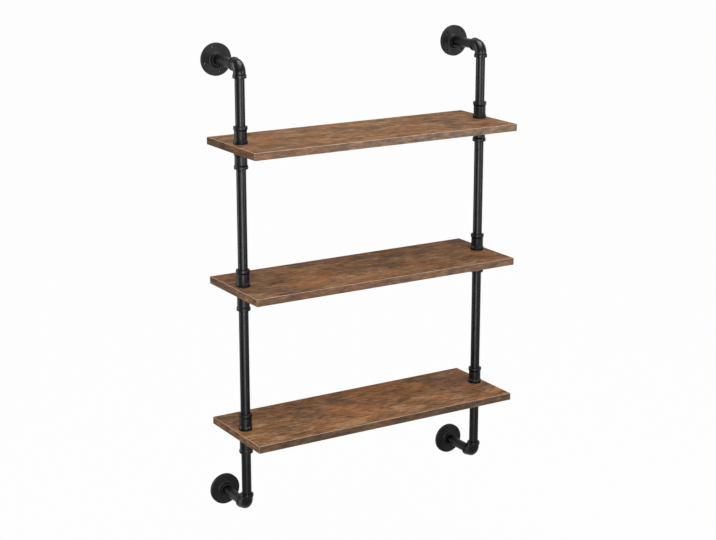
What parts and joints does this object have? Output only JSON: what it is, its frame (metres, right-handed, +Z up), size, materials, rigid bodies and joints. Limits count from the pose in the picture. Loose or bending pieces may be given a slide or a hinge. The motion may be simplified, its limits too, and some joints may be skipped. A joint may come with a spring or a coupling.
{
  "type": "wall-mounted pipe shelving unit",
  "caption": "Wall-mounted shelving unit: wood-print boards clamped between couplings on black pipe uprights that turn back to the wall through elbows to round screw flanges.",
  "frame": {"origin": "on the wall plane, midway between the two uprights and midway between the upper and lower flanges", "axes": "+Z up along the uprights, +Y into the wall, +X along the boards to the viewer's right"},
  "size_m": [0.687, 0.221, 1.052],
  "materials": {
    "board_face": "matt rustic brown wood print, grain along the board",
    "board_edge": "matt rustic brown wood-print strip with a pale arris",
    "steel_pipe": "satin black powder coat",
    "cast_fitting": "black coating over a slightly rough casting",
    "cast_flange": "black coating over a slightly rough casting"
  },
  "bodies": {
    "root": {"left_bottom_elbow": "cast_fitting", "left_bottom_flange": "cast_flange", "left_bottom_pipe": "steel_pipe", "left_bottom_wall_nipple": "steel_pipe", "left_lower_shelf_bottom_coupling": "cast_fitting", "left_lower_shelf_nipple": "steel_pipe", "left_lower_shelf_top_coupling": "cast_fitting", "left_lower_span_pipe": "steel_pipe", "left_middle_shelf_bottom_coupling": "cast_fitting", "left_middle_shelf_nipple": "steel_pipe", "left_middle_shelf_top_coupling": "cast_fitting", "left_top_elbow": "cast_fitting", "left_top_flange": "cast_flange", "left_top_pipe": "steel_pipe", "left_top_wall_nipple": "steel_pipe", "left_upper_shelf_bottom_coupling": "cast_fitting", "left_upper_shelf_nipple": "steel_pipe", "left_upper_shelf_top_coupling": "cast_fitting", "left_upper_span_pipe": "steel_pipe", "lower_shelf_back_band": "board_edge", "lower_shelf_board": "board_face", "lower_shelf_front_band": "board_edge", "lower_shelf_left_band": "board_edge", "lower_shelf_right_band": "board_edge", "middle_shelf_back_band": "board_edge", "middle_shelf_board": "board_face", "middle_shelf_front_band": "board_edge", "middle_shelf_left_band": "board_edge", "middle_shelf_right_band": "board_edge", "right_bottom_elbow": "cast_fitting", "right_bottom_flange": "cast_flange", "right_bottom_pipe": "steel_pipe", "right_bottom_wall_nipple": "steel_pipe", "right_lower_shelf_bottom_coupling": "cast_fitting", "right_lower_shelf_nipple": "steel_pipe", "right_lower_shelf_top_coupling": "cast_fitting", "right_lower_span_pipe": "steel_pipe", "right_middle_shelf_bottom_coupling": "cast_fitting", "right_middle_shelf_nipple": "steel_pipe", "right_middle_shelf_top_coupling": "cast_fitting", "right_top_elbow": "cast_fitting", "right_top_flange": "cast_flange", "right_top_pipe": "steel_pipe", "right_top_wall_nipple": "steel_pipe", "right_upper_shelf_bottom_coupling": "cast_fitting", "right_upper_shelf_nipple": "steel_pipe", "right_upper_shelf_top_coupling": "cast_fitting", "right_upper_span_pipe": "steel_pipe", "upper_shelf_back_band": "board_edge", "upper_shelf_board": "board_face", "upper_shelf_front_band": "board_edge", "upper_shelf_left_band": "board_edge", "upper_shelf_right_band": "board_edge"}
  },
  "joints": []
}
